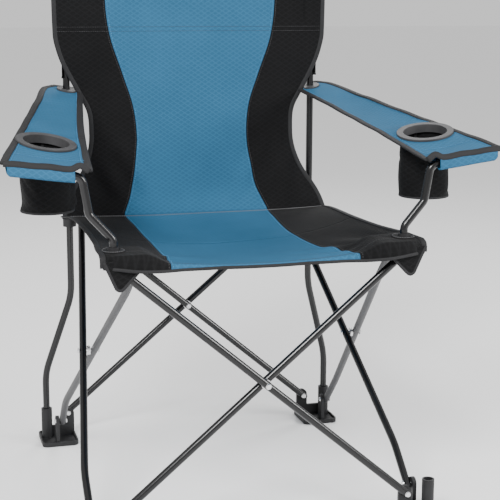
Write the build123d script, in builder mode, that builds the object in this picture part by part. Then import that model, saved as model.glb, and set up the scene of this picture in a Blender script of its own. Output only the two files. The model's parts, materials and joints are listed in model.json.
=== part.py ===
from build123d import *
from math import atan2, cos, sin
import os

os.makedirs("parts", exist_ok=True)

# Folding camp chair: four scissor pairs of steel tube, two back posts, sling fabric, cup-holder armrests.
# The front of the chair faces -Y and +Z is up. Left and right are as seen from the front, right is +X.
# The origin is on the ground under the middle of the chair. All sizes are in millimetres.

# ---- driving dimensions --------------------------------------------------
PIN_SPAN = 488.0  # distance between foot pins, front, rear and along each side
FOOT_PIN_Z = 48.0  # height of the foot pins
HUB_PIN_Z = 462.0  # height of the hub pins with the chair open
TUBE_D = 13.0  # every frame tube
TUBE_WALL = 1.2
TUBE_LAP = 20.0  # axis to axis where two tubes of a scissor cross
TUBE_GAP = 0.3  # a tube's side to the plate or washer that it turns against
TUBE_OVERHANG = 5.6  # tube end beyond its pin
PIN_R = 2.4
PIN_RUNNING = 0.06  # radial clearance of a pin in the part that turns on it
HEAD_R = 5.0
HEAD_T = 2.0
FRONT_GAP = 32.0  # front scissor plane ahead of the front side pins
REAR_GAP = 47.0  # rear scissor plane behind the rear side pins
FOOT_SIDE_OUT = 28.0  # side scissor mid-plane outboard of the foot pins
HUB_SIDE_IN = 38.0  # side scissor mid-plane inboard of the rear hub pins
BEND_AT = 0.125  # share of a side tube's pin distance before its bend
SIDE_BOW = 7.0  # how far the bends of a rear-foot tube stand off its pin line
SIDE_BEND_R = 260.0

POST_IN = 5.0  # upper post inboard of the hub pins
POST_TOP_Z = 985.0
POST_FOOT_OUT = 44.0  # lower post outboard of the foot pins
POST_FOOT_BACK = 37.0  # lower post behind the upper post
POST_BEND_LOW_Z = 137.0
POST_BEND_HIGH_Z = 299.0
POST_BEND_R = 120.0

FOOT_TOE = 21.5  # base plate beyond the scissor plane
FOOT_CORNER_R = 11.0
FOOT_EDGE_R = 1.2
BASE_T = 5.0
RIM_H = 4.0  # lip round the base plate
RIM_T = 3.0
PILLAR_R = 10.5
PILLAR_MARGIN = 4.0  # base plate outboard of the corner pillar
PILLAR_ABOVE_PIN = 17.0
PILLAR_WALL = 3.0
PILLAR_SOLID = 24.0  # solid bottom of a front pillar, above the base plate
POST_SEAT = 6.0  # solid bottom of a rear pillar, above the base plate
WEB_H = 20.0  # rib between the front or rear ear and the pillar
EAR_R = 11.0
EAR_MARGIN = 3.0  # base plate behind the side ear
HUB_PLATE_LIFT = 10.4  # underside of a hub's top plate above its pins
HUB_PLATE_T = 3.6
SLIDER_H = 42.0  # length of the rear hub on its post
SLIDER_R = 12.5
POST_RUNNING = 0.5  # radial clearance of anything that slides on a post
HUB_CORNER_R = 3.0
CAP_H = 5.0
CAP_EDGE_R = 2.5
CAP_SPIGOT = 16.0
PLUG_DOME = 2.6
PLUG_SPIGOT = 2.2

ARM_SOCKET_IN = 4.0  # arm tube inboard of the hub pins
ARM_SOCKET_BACK = 10.5  # arm tube ahead of the front side pins
ARM_BOSS_R = 9.6
ARM_BOSS_H = 14.0
ARM_TUBE_REACH = 148.0  # end of the arm tube outboard of the hub pins
ARM_BEND_R = 16.0
ARM_TUBE_STAND = 8.0  # straight run of the arm tube above its socket
ARM_KNEE_OUT = 36.0  # first bend of the arm tube outboard of its socket
ARM_KNEE_H = 62.0  # first bend above the hub
ARM_TOP_OUT = 46.0  # second bend outboard of the socket
ARM_TUBE_BACK = 4.0  # both bends behind the socket
ARM_PLUG_DOME = 4.0
ARM_PLUG_SPIGOT = 12.0

CLOTH_T = 3.0
SEAT_LIFT = 2.4  # seat cloth above the hubs
SEAT_SAG = 22.0
SEAT_FLAT_IN = 52.0  # where the sag starts, inboard of the hub pins
SEAT_FRONT_OUT = 32.0  # front corner outboard of the hub pins
SEAT_FRONT_LIP = 26.0  # seat edge ahead of the front side pins
SEAT_REAR_IN = 18.0  # rear corner inboard of the hub pins
SEAT_REAR_INSET = 34.0  # back of the seat ahead of the posts
BACK_TOP_Z = 978.0
BACK_SLEEVE_Z = 712.0
BACK_WAIST_IN = 39.0  # waist of the back inboard of the hub pins
BACK_KNEE_Z = 640.0
SLEEVE_GAP = 0.7  # between a post and the sleeve round it
SLEEVE_T = 2.2

ARM_REAR_Z = 693.0  # armrest height at the post
ARM_INNER_OUT = 34.0  # front inner corner outboard of and behind the front hub pins
ARM_INNER_BACK = 1.5
ARM_INNER_Z = 606.0
ARM_OUTER_OUT = 163.0  # front outer corner outboard of and ahead of the front hub pins
ARM_OUTER_AHEAD = 16.5
ARM_OUTER_Z = 624.0
ARM_CLOTH_T = 4.0
ARM_REAR_CORNERS = [(-16, 22), (24, 26), (40, 14)]  # outboard of and behind the post, in the cloth
ARM_FRONT_CORNERS = [(166, -18), (36, 2)]  # outboard of the post and behind the front inner corner
ARM_POST_HOLE_R = 10.5
CUP_BACK = 128.0  # cup centre behind the front edge
CUP_OUT = 86.0  # cup centre outboard of the post
CUP_RING_R = 49.0
CUP_BORE_R = 37.0
CUP_SPIGOT_R = 40.5
CUP_SPIGOT_H = 11.0
CUP_MOUTH_R = 42.5
CUP_BASE_R = 38.0
CUP_DEPTH = 104.0
CUP_WALL = 1.6
CUP_CLEAR = 0.5
RING_T = 3.4
RING_EDGE_R = 1.0
WASHER_R = 19.0
WASHER_T = 2.6
WASHER_SLEEVE_R = 8.7
LAYER_GAP = 0.3  # between the armrest cloth and what is clamped on it
POCKET_TOP = (-56.0, 28.0)  # outboard of the hub pins
POCKET_TIP = (-8.0, 2.0)
POCKET_DROP = (48.0, 46.0)
KNEE_STEP = 4.0  # where the back's sleeves end above its waist
BACK_SEAM_LIFT = 8.0  # bottom of the back above the seat cloth's underside

# ---- worked out from the above ---------------------------------------------
TUBE_R = TUBE_D / 2
TUBE_BORE_R = TUBE_R - TUBE_WALL
LAP = TUBE_LAP / 2
EAR_T = TUBE_LAP - TUBE_D - 2 * TUBE_GAP
HALF_SPAN = PIN_SPAN / 2
FOOT_SIDE_X = HALF_SPAN + FOOT_SIDE_OUT
REAR_SIDE_X = HALF_SPAN - HUB_SIDE_IN
POST_X = HALF_SPAN - POST_IN
POST_FOOT_X = HALF_SPAN + POST_FOOT_OUT
ARM_SOCKET_X = HALF_SPAN - ARM_SOCKET_IN
ARM_TUBE_END_X = HALF_SPAN + ARM_TUBE_REACH
SEAT_FLAT_X = HALF_SPAN - SEAT_FLAT_IN
SEAT_FRONT_X = HALF_SPAN + SEAT_FRONT_OUT
SEAT_REAR_X = HALF_SPAN - SEAT_REAR_IN
BACK_WAIST_X = HALF_SPAN - BACK_WAIST_IN
SLEEVE_BORE_R = TUBE_R + SLEEVE_GAP
SLEEVE_R = SLEEVE_BORE_R + SLEEVE_T
RISE = HUB_PIN_Z - FOOT_PIN_Z
TILT = atan2(RISE, PIN_SPAN)
TUBE_LENGTH = RISE / sin(TILT)
PLANE_Y = (PIN_SPAN + FRONT_GAP + REAR_GAP) / 2
REAR_PIN_Y = PLANE_Y - REAR_GAP
FRONT_PIN_Y = REAR_PIN_Y - PIN_SPAN
POST_Y = REAR_PIN_Y
POST_FOOT_Y = POST_Y + POST_FOOT_BACK
FRONT_SIDE_X = FOOT_SIDE_X - 2 * (FOOT_SIDE_X - REAR_SIDE_X) * (0.5 - BEND_AT) / (1 - BEND_AT)
SIDE_LEAN = (FOOT_SIDE_X - REAR_SIDE_X) / ((1 - BEND_AT) * TUBE_LENGTH)  # side tubes lean in as they rise
ARM_SOCKET_Y = FRONT_PIN_Y - ARM_SOCKET_BACK
HUB_PLATE_Z = HUB_PIN_Z + HUB_PLATE_LIFT
HUB_TOP_Z = HUB_PLATE_Z + HUB_PLATE_T
SEAT_CORNER_Z = HUB_TOP_Z + SEAT_LIFT
ARM_FRONT_INNER = (HALF_SPAN + ARM_INNER_OUT, FRONT_PIN_Y + ARM_INNER_BACK, ARM_INNER_Z)
ARM_FRONT_OUTER = (HALF_SPAN + ARM_OUTER_OUT, FRONT_PIN_Y - ARM_OUTER_AHEAD, ARM_OUTER_Z)

# Each corner: side of the chair, end of the chair, and on which face of each plate its tubes lie
# (+1 outboard, -1 inboard). The pattern repeats every quarter turn round the chair.
LEFT, RIGHT, FRONT, REAR = -1, 1, -1, 1
FOOT_TUBES = {(LEFT, REAR): (1, -1), (RIGHT, REAR): (-1, 1), (LEFT, FRONT): (-1, 1), (RIGHT, FRONT): (1, -1)}
HUB_TUBES = {(LEFT, REAR): (-1, 1), (RIGHT, REAR): (1, -1), (LEFT, FRONT): (1, -1), (RIGHT, FRONT): (-1, 1)}
SIDE_NAME = {LEFT: "left", RIGHT: "right"}
END_NAME = {FRONT: "front", REAR: "rear"}


def write(part, name):
    part.label = name
    export_step(part, f"parts/{name}.step")


def pin_y(end):
    return REAR_PIN_Y if end == REAR else FRONT_PIN_Y


def hub_side_x(end):
    return REAR_SIDE_X if end == REAR else FRONT_SIDE_X


def tube_along(points, radius, pins, pin_axis):
    """A tube along straight runs and tangent arcs, cross-drilled at its pins."""
    with BuildPart() as tube:
        with BuildLine() as path:
            if len(points) == 2:
                Line(*points)
            else:
                FilletPolyline(*points, radius=radius)
        with BuildSketch(Plane(origin=path.line @ 0, z_dir=path.line % 0)):
            Circle(TUBE_R)
            Circle(TUBE_BORE_R, mode=Mode.SUBTRACT)
        sweep(path=path.line)
        for pin in pins:
            with BuildSketch(Plane(origin=pin, z_dir=pin_axis)):
                Circle(PIN_R + PIN_RUNNING)
            extrude(amount=TUBE_D, both=True, mode=Mode.SUBTRACT)
    return tube.part


def end_plugs(points):
    """The two domed plugs that close a tube's ends, as one group of two solids."""
    with BuildPart() as plugs:
        for end, inner in ((points[0], points[1]), (points[-1], points[-2])):
            outward = (Vector(*end) - Vector(*inner)).normalized()
            with BuildSketch(Plane(origin=end, z_dir=outward)):
                Circle(TUBE_R)
            extrude(amount=PLUG_DOME, taper=28)
            with BuildSketch(Plane(origin=end, z_dir=-outward)):
                Circle(TUBE_BORE_R - PIN_RUNNING)
            extrude(amount=PLUG_SPIGOT)
    return plugs.part


def rivet(centre, axis, start, stop):
    """A round pin through centre, with a domed head beyond start and beyond stop along its axis."""
    direction = Vector(*axis)
    middle = Vector(*centre)
    with BuildPart(mode=Mode.PRIVATE) as pin:
        with BuildSketch(Plane(origin=middle + direction * start, z_dir=direction)):
            Circle(PIN_R)
        extrude(amount=stop - start)
        for place, way in ((start, -1), (stop, 1)):
            with BuildSketch(Plane(origin=middle + direction * place, z_dir=direction * way)):
                Circle(HEAD_R)
            extrude(amount=HEAD_T, taper=30)
    return pin.part


def ear_thickness(lean):
    """Thickness of a plate that stays clear of a tube leaning across it."""
    return EAR_T - 2 * (EAR_R + 1) * lean


def plate_pin(plate_centre, axis, face, lean):
    """The rivet that holds a tube on the given face of a plate."""
    far = LAP + TUBE_R + TUBE_GAP + (HEAD_R + 1) * lean
    back = ear_thickness(lean) / 2
    if face > 0:
        return rivet(plate_centre, axis, -back, far)
    return rivet(plate_centre, axis, -far, back)


# ---- scissor tubes -----------------------------------------------------------
def straight_tube(end, start_side, lap_face):
    """A front or rear scissor tube from one foot pin up to the opposite hub pin."""
    y = end * (PLANE_Y + lap_face * LAP)
    along = Vector(-start_side * cos(TILT), 0, sin(TILT))
    foot_pin = Vector(start_side * HALF_SPAN, y, FOOT_PIN_Z)
    hub_pin = Vector(-start_side * HALF_SPAN, y, HUB_PIN_Z)
    middle = (foot_pin + hub_pin) * 0.5
    points = [tuple(foot_pin - along * TUBE_OVERHANG), tuple(hub_pin + along * TUBE_OVERHANG)]
    return points, [foot_pin, middle, hub_pin]


def side_tube(side, start_end, lap_face):
    """A side scissor tube, bent from the outboard foot plate to the inboard hub plate."""
    hub_end = -start_end
    foot_x = FOOT_SIDE_X + lap_face * LAP
    hub_x = hub_side_x(hub_end) + lap_face * LAP
    along = Vector(0, hub_end * cos(TILT), sin(TILT))
    across = Vector(0, -hub_end * sin(TILT), cos(TILT))
    foot_pin = Vector(side * foot_x, pin_y(start_end), FOOT_PIN_Z)
    inward = Vector(side * (hub_x - foot_x), 0, 0)
    low_bend = foot_pin + along * (BEND_AT * TUBE_LENGTH)
    hub_pin = foot_pin + along * TUBE_LENGTH + inward
    if start_end == REAR:
        high_bend = foot_pin + along * ((1 - BEND_AT) * TUBE_LENGTH) + inward
        low_bend += across * SIDE_BOW
        high_bend -= across * SIDE_BOW
        bends = [low_bend, high_bend]
    else:
        bends = [low_bend]
    middle = (bends[0] + (bends[1] if len(bends) == 2 else hub_pin)) * 0.5
    if len(bends) == 1:
        share = (0.5 - BEND_AT) / (1 - BEND_AT)
        middle = low_bend + (hub_pin - low_bend) * share
    start = foot_pin - (bends[0] - foot_pin).normalized() * TUBE_OVERHANG
    finish = hub_pin + (hub_pin - bends[-1]).normalized() * TUBE_OVERHANG
    points = [tuple(p) for p in [start] + bends + [finish]]
    return points, [foot_pin, middle, hub_pin]


TUBES = {
    "rear_outer_tube": (straight_tube(REAR, LEFT, 1), (0, 1, 0)),
    "rear_inner_tube": (straight_tube(REAR, RIGHT, -1), (0, 1, 0)),
    "front_inner_tube": (straight_tube(FRONT, LEFT, -1), (0, 1, 0)),
    "front_outer_tube": (straight_tube(FRONT, RIGHT, 1), (0, 1, 0)),
    "left_side_tube": (side_tube(LEFT, REAR, -1), (1, 0, 0)),
    "left_leg_tube": (side_tube(LEFT, FRONT, 1), (1, 0, 0)),
    "right_side_tube": (side_tube(RIGHT, REAR, 1), (1, 0, 0)),
    "right_leg_tube": (side_tube(RIGHT, FRONT, -1), (1, 0, 0)),
}
for tube_name, ((route, pins), pin_axis) in TUBES.items():
    write(tube_along(route, SIDE_BEND_R, pins, pin_axis), tube_name)
    write(end_plugs(route), f"{tube_name}_plugs")

# ---- crossing rivets and washers -----------------------------------------------
CROSSINGS = {
    "front": ((0, -PLANE_Y, (FOOT_PIN_Z + HUB_PIN_Z) / 2), (0, 1, 0)),
    "rear": ((0, PLANE_Y, (FOOT_PIN_Z + HUB_PIN_Z) / 2), (0, 1, 0)),
}
for side in (LEFT, RIGHT):
    leg_middle = TUBES[f"{SIDE_NAME[side]}_leg_tube"][0][1][1]
    side_middle = TUBES[f"{SIDE_NAME[side]}_side_tube"][0][1][1]
    CROSSINGS[SIDE_NAME[side]] = (tuple((leg_middle + side_middle) * 0.5), (1, 0, 0))
for place, (centre, axis) in CROSSINGS.items():
    lean = SIDE_LEAN if axis[0] else 0
    reach = LAP + TUBE_R + TUBE_GAP + (HEAD_R + 1) * lean
    washer_r = TUBE_R + 1.5
    with BuildPart() as crossing:
        add(rivet(centre, axis, -reach, reach))
        with BuildSketch(Plane(origin=centre, z_dir=axis)):
            Circle(washer_r)
            Circle(PIN_R + PIN_RUNNING, mode=Mode.SUBTRACT)
        extrude(amount=EAR_T / 2 - (washer_r + 1) * lean, both=True)
    write(crossing.part, f"{place}_crossing_rivet_and_washer")


# ---- feet ------------------------------------------------------------------------
def foot_part(side, end):
    """A foot: base plate with a lip, two upright ears for the tubes, and a corner pillar."""
    plane_y = end * PLANE_Y
    side_pin_y = pin_y(end)
    ear_x = side * FOOT_SIDE_X
    outer_x = side * (POST_FOOT_X + PILLAR_R + PILLAR_MARGIN)
    inner_x = side * (HALF_SPAN - EAR_R - 1)
    toe_y = plane_y + end * FOOT_TOE
    heel_y = side_pin_y - end * (EAR_R + EAR_MARGIN)
    wide = abs(outer_x - inner_x)
    deep = abs(toe_y - heel_y)
    pillar_x = side * POST_FOOT_X
    pillar_y = POST_FOOT_Y if end == REAR else plane_y + 2
    pillar_top = FOOT_PIN_Z + PILLAR_ABOVE_PIN
    ear_top = FOOT_PIN_Z
    with BuildPart() as foot:
        with BuildSketch():
            with Locations(((outer_x + inner_x) / 2, (toe_y + heel_y) / 2)):
                RectangleRounded(wide, deep, FOOT_CORNER_R)
        extrude(amount=BASE_T)
        with BuildSketch(Plane.XY.offset(BASE_T)):
            with Locations(((outer_x + inner_x) / 2, (toe_y + heel_y) / 2)):
                RectangleRounded(wide, deep, FOOT_CORNER_R)
                RectangleRounded(wide - 2 * RIM_T, deep - 2 * RIM_T, FOOT_CORNER_R - RIM_T, mode=Mode.SUBTRACT)
        extrude(amount=RIM_H)
        with BuildSketch(Plane(origin=(side * HALF_SPAN, plane_y, ear_top), x_dir=(1, 0, 0), z_dir=(0, -1, 0))):
            Circle(EAR_R)
            with Locations((0, -ear_top / 2)):
                Rectangle(2 * EAR_R, ear_top)
        extrude(amount=EAR_T / 2, both=True)
        with BuildSketch(Plane(origin=(ear_x, side_pin_y, ear_top), x_dir=(0, 1, 0), z_dir=(1, 0, 0))):
            Circle(EAR_R)
            with Locations((0, -ear_top / 2)):
                Rectangle(2 * EAR_R, ear_top)
        extrude(amount=EAR_T / 2, both=True)
        with BuildSketch():
            with Locations((pillar_x, pillar_y)):
                Circle(PILLAR_R)
        extrude(amount=pillar_top)
        with BuildSketch(Plane.XY.offset(BASE_T)):
            with BuildLine():
                Polyline(
                    (side * HALF_SPAN, plane_y - EAR_T / 2),
                    (pillar_x, plane_y - EAR_T / 2),
                    (pillar_x, plane_y + EAR_T / 2),
                    (side * HALF_SPAN, plane_y + EAR_T / 2),
                    close=True,
                )
            make_face()
        extrude(amount=WEB_H)
        fillet(foot.edges().group_by(Axis.Z)[0], FOOT_EDGE_R)
        if end == REAR:
            with BuildSketch(Plane.XY.offset(BASE_T + POST_SEAT)):
                with Locations((pillar_x, pillar_y)):
                    Circle(TUBE_R + PIN_RUNNING)
            extrude(amount=pillar_top, mode=Mode.SUBTRACT)
        else:
            with BuildSketch(Plane.XY.offset(BASE_T + PILLAR_SOLID)):
                with Locations((pillar_x, pillar_y)):
                    Circle(PILLAR_R - PILLAR_WALL)
            extrude(amount=pillar_top, mode=Mode.SUBTRACT)
        for origin, z_dir in (
            ((side * HALF_SPAN, plane_y, FOOT_PIN_Z), (0, 1, 0)),
            ((ear_x, side_pin_y, FOOT_PIN_Z), (1, 0, 0)),
        ):
            with BuildSketch(Plane(origin=origin, z_dir=z_dir)):
                Circle(PIN_R + PIN_RUNNING)
            extrude(amount=EAR_T, both=True, mode=Mode.SUBTRACT)
    return foot.part


def corner_rivets(side, end, side_x, height, faces, lean):
    """The two tube rivets of a foot or a hub, as one group of two solids."""
    cross_face, side_face = faces
    with BuildPart() as rivets:
        add(plate_pin((side * HALF_SPAN, end * PLANE_Y, height), (0, end, 0), cross_face, 0))
        add(plate_pin((side * side_x, pin_y(end), height), (side, 0, 0), side_face, lean))
    return rivets.part


for side in (LEFT, RIGHT):
    for end in (FRONT, REAR):
        corner = f"{END_NAME[end]}_{SIDE_NAME[side]}"
        write(foot_part(side, end), f"{corner}_foot")
        foot_rivets = corner_rivets(side, end, FOOT_SIDE_X, FOOT_PIN_Z, FOOT_TUBES[(side, end)], 0)
        write(foot_rivets, f"{corner}_foot_rivets")


# ---- hubs ------------------------------------------------------------------------
def hub_part(side, end):
    """A hub: a top plate with two hanging ears, and a slider on the post or a socket for the arm tube."""
    plane_y = end * PLANE_Y
    side_pin_y = pin_y(end)
    ear_x = side * hub_side_x(end)
    core_x = side * (POST_X if end == REAR else ARM_SOCKET_X)
    core_y = POST_Y if end == REAR else ARM_SOCKET_Y
    core_r = SLIDER_R if end == REAR else ARM_BOSS_R
    with BuildPart() as hub:
        with BuildSketch(Plane.XY.offset(HUB_PLATE_Z)):
            with BuildLine():
                Polyline(
                    (ear_x - side * EAR_T / 2, side_pin_y - end * EAR_R),
                    (ear_x - side * EAR_T / 2, plane_y + end * EAR_T / 2),
                    (side * (HALF_SPAN + EAR_R), plane_y + end * EAR_T / 2),
                    (side * (HALF_SPAN + EAR_R), side_pin_y - end * EAR_R),
                    close=True,
                )
            make_face()
        extrude(amount=HUB_PLATE_T)
        fillet(hub.edges().filter_by(Axis.Z), HUB_CORNER_R)
        with BuildSketch(Plane(origin=(side * HALF_SPAN, plane_y, HUB_PIN_Z), x_dir=(1, 0, 0), z_dir=(0, -1, 0))):
            Circle(EAR_R)
            with Locations((0, (HUB_PLATE_Z - HUB_PIN_Z) / 2)):
                Rectangle(2 * EAR_R, HUB_PLATE_Z - HUB_PIN_Z)
        extrude(amount=EAR_T / 2, both=True)
        with BuildSketch(Plane(origin=(ear_x, side_pin_y, HUB_PIN_Z), x_dir=(0, 1, 0), z_dir=(1, 0, 0))):
            Circle(EAR_R)
            with Locations((0, (HUB_PLATE_Z - HUB_PIN_Z) / 2)):
                Rectangle(2 * EAR_R, HUB_PLATE_Z - HUB_PIN_Z)
        extrude(amount=ear_thickness(SIDE_LEAN if end == REAR else 0) / 2, both=True)
        if end == REAR:
            with BuildSketch(Plane.XY.offset(HUB_TOP_Z - SLIDER_H)):
                with Locations((core_x, core_y)):
                    Circle(core_r)
            extrude(amount=SLIDER_H)
            with BuildSketch(Plane.XY.offset(HUB_TOP_Z - SLIDER_H)):
                with Locations((core_x, core_y)):
                    Circle(TUBE_R + POST_RUNNING)
            extrude(amount=2 * SLIDER_H, mode=Mode.SUBTRACT)
        else:
            with BuildSketch(Plane.XY.offset(HUB_PLATE_Z)):
                with Locations((core_x, core_y)):
                    Circle(core_r)
            extrude(amount=ARM_BOSS_H)
            with BuildSketch(Plane.XY.offset(HUB_TOP_Z)):
                with Locations((core_x, core_y)):
                    Circle(TUBE_R + PIN_RUNNING)
            extrude(amount=ARM_BOSS_H, mode=Mode.SUBTRACT)
        for origin, z_dir in (
            ((side * HALF_SPAN, plane_y, HUB_PIN_Z), (0, 1, 0)),
            ((ear_x, side_pin_y, HUB_PIN_Z), (1, 0, 0)),
        ):
            with BuildSketch(Plane(origin=origin, z_dir=z_dir)):
                Circle(PIN_R + PIN_RUNNING)
            extrude(amount=EAR_T, both=True, mode=Mode.SUBTRACT)
    return hub.part


for side in (LEFT, RIGHT):
    for end in (FRONT, REAR):
        corner = f"{END_NAME[end]}_{SIDE_NAME[side]}"
        write(hub_part(side, end), f"{corner}_hub")
        lean = SIDE_LEAN if end == REAR else 0
        hub_rivets = corner_rivets(side, end, hub_side_x(end), HUB_PIN_Z, HUB_TUBES[(side, end)], lean)
        write(hub_rivets, f"{corner}_hub_rivets")


# ---- back posts --------------------------------------------------------------------
for side in (LEFT, RIGHT):
    post_route = [
        (side * POST_FOOT_X, POST_FOOT_Y, BASE_T + POST_SEAT + POST_RUNNING),
        (side * POST_FOOT_X, POST_FOOT_Y, POST_BEND_LOW_Z),
        (side * POST_X, POST_Y, POST_BEND_HIGH_Z),
        (side * POST_X, POST_Y, POST_TOP_Z),
    ]
    write(tube_along(post_route, POST_BEND_R, [], (1, 0, 0)), f"{SIDE_NAME[side]}_post")
    with BuildPart() as post_cap:
        with BuildSketch(Plane.XY.offset(POST_TOP_Z)):
            with Locations((side * POST_X, POST_Y)):
                Circle(SLEEVE_R)
        extrude(amount=CAP_H)
        fillet(post_cap.edges().group_by(Axis.Z)[-1], CAP_EDGE_R)
        with BuildSketch(Plane.XY.offset(POST_TOP_Z)):
            with Locations((side * POST_X, POST_Y)):
                Circle(TUBE_BORE_R - PIN_RUNNING)
        extrude(amount=-CAP_SPIGOT)
    write(post_cap.part, f"{SIDE_NAME[side]}_post_cap")

# ---- armrests ------------------------------------------------------------------------
ARM_RISE_Y = (ARM_REAR_Z - ARM_FRONT_INNER[2]) / (POST_Y - ARM_FRONT_INNER[1])
ARM_RISE_X = (ARM_FRONT_OUTER[2] - ARM_FRONT_INNER[2]) / (ARM_FRONT_OUTER[0] - ARM_FRONT_INNER[0])


def arm_height(x, y):
    """Height of the armrest's underside above a point of the right-hand plan."""
    outward = ARM_RISE_X * (x - ARM_FRONT_INNER[0])
    rearward = ARM_RISE_Y * (y - ARM_FRONT_INNER[1])
    return ARM_FRONT_INNER[2] + outward + rearward


def arm_plane(side, x, y, lift):
    """A plane parallel to the armrest's underside, lift above it, its x axis pointing outboard."""
    origin = (side * x, y, arm_height(x, y))
    normal = Vector(-side * ARM_RISE_X, -ARM_RISE_Y, 1).normalized()
    return Plane(origin=origin, x_dir=(side, 0, ARM_RISE_X), z_dir=normal).offset(lift)


CUP_X = POST_X + CUP_OUT
CUP_Y = ARM_FRONT_OUTER[1] + CUP_BACK
for side in (LEFT, RIGHT):
    name = SIDE_NAME[side]
    tube_drop = TUBE_R + TUBE_WALL
    top_x = ARM_SOCKET_X + ARM_TOP_OUT
    arm_route = [
        (side * ARM_SOCKET_X, ARM_SOCKET_Y, HUB_TOP_Z + 0.4),
        (side * ARM_SOCKET_X, ARM_SOCKET_Y, HUB_TOP_Z + ARM_BOSS_H + ARM_TUBE_STAND),
        (side * (ARM_SOCKET_X + ARM_KNEE_OUT), ARM_SOCKET_Y + ARM_TUBE_BACK, HUB_TOP_Z + ARM_KNEE_H),
        (side * top_x, ARM_SOCKET_Y + ARM_TUBE_BACK, arm_height(top_x, ARM_SOCKET_Y) - tube_drop),
        (side * ARM_TUBE_END_X, ARM_SOCKET_Y, arm_height(ARM_TUBE_END_X, ARM_SOCKET_Y) - tube_drop),
    ]
    write(tube_along(arm_route, ARM_BEND_R, [], (1, 0, 0)), f"{name}_arm_tube")
    with BuildPart() as arm_plug:
        arm_end = Vector(*arm_route[-1])
        outward = (arm_end - Vector(*arm_route[-2])).normalized()
        with BuildSketch(Plane(origin=arm_end, z_dir=outward)):
            Circle(TUBE_R)
        extrude(amount=ARM_PLUG_DOME, taper=20)
        with BuildSketch(Plane(origin=arm_end, z_dir=-outward)):
            Circle(TUBE_BORE_R - PIN_RUNNING)
        extrude(amount=ARM_PLUG_SPIGOT)
    write(arm_plug.part, f"{name}_arm_tube_plug")

    base_plane = arm_plane(side, POST_X, POST_Y, 0)
    front_v = -(POST_Y - ARM_FRONT_INNER[1]) * (1 + ARM_RISE_Y**2) ** 0.5
    outline = ARM_REAR_CORNERS + [(u, front_v + v) for u, v in ARM_FRONT_CORNERS]
    with BuildPart() as armrest:
        with BuildSketch(base_plane):
            with BuildLine():
                Polyline(*[(u, side * v) for u, v in outline], close=True)
            make_face()
        extrude(amount=ARM_CLOTH_T)
        with BuildSketch(Plane.XY.offset(ARM_FRONT_INNER[2] - 40)):
            with Locations((side * POST_X, POST_Y)):
                Circle(ARM_POST_HOLE_R)
        extrude(amount=200, mode=Mode.SUBTRACT)
        with BuildSketch(arm_plane(side, CUP_X, CUP_Y, -20)):
            Circle(CUP_SPIGOT_R + CUP_CLEAR)
        extrude(amount=60, mode=Mode.SUBTRACT)
    write(armrest.part, f"{name}_armrest")

    with BuildPart() as cup_ring:
        with BuildSketch(arm_plane(side, CUP_X, CUP_Y, ARM_CLOTH_T + LAYER_GAP)):
            Circle(CUP_RING_R)
            Circle(CUP_BORE_R, mode=Mode.SUBTRACT)
        extrude(amount=RING_T)
        fillet(cup_ring.faces().sort_by(Axis.Z)[-1].edges(), RING_EDGE_R)
        with BuildSketch(arm_plane(side, CUP_X, CUP_Y, ARM_CLOTH_T + LAYER_GAP)):
            Circle(CUP_SPIGOT_R)
            Circle(CUP_BORE_R, mode=Mode.SUBTRACT)
        extrude(amount=-CUP_SPIGOT_H)
    write(cup_ring.part, f"{name}_cup_ring")

    with BuildPart() as cup:
        with BuildSketch(arm_plane(side, CUP_X, CUP_Y, -1.0)):
            Circle(CUP_MOUTH_R + CUP_WALL)
        with BuildSketch(Plane(origin=(side * CUP_X, CUP_Y, arm_height(CUP_X, CUP_Y) - CUP_DEPTH))):
            Circle(CUP_BASE_R)
        loft()
        with BuildSketch(arm_plane(side, CUP_X, CUP_Y, -0.9)):
            Circle(CUP_MOUTH_R)
        with BuildSketch(Plane(origin=(side * CUP_X, CUP_Y, arm_height(CUP_X, CUP_Y) - CUP_DEPTH + CUP_WALL))):
            Circle(CUP_BASE_R - CUP_WALL)
        loft(mode=Mode.SUBTRACT)
    write(cup.part, f"{name}_cup")

    with BuildPart() as post_washer:
        with BuildSketch(arm_plane(side, POST_X, POST_Y, ARM_CLOTH_T + LAYER_GAP)):
            Circle(WASHER_R)
        extrude(amount=WASHER_T)
        with BuildSketch(arm_plane(side, POST_X, POST_Y, -LAYER_GAP)):
            Circle(WASHER_R)
        extrude(amount=-WASHER_T)
        with BuildSketch(arm_plane(side, POST_X, POST_Y, -LAYER_GAP)):
            Circle(WASHER_SLEEVE_R)
        extrude(amount=ARM_CLOTH_T + 1)
        with BuildSketch(Plane.XY.offset(ARM_REAR_Z - 60)):
            with Locations((side * POST_X, POST_Y)):
                Circle(TUBE_R + POST_RUNNING)
        extrude(amount=120, mode=Mode.SUBTRACT)
    write(post_washer.part, f"{name}_post_washer")

# ---- seat and back cloth ----------------------------------------------------------------
SEAT_FRONT_Y = FRONT_PIN_Y - SEAT_FRONT_LIP
SEAT_REAR_Y = POST_Y - SEAT_REAR_INSET
SEAT_SPLIT_Y = (FRONT_PIN_Y + REAR_PIN_Y) / 2


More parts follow.
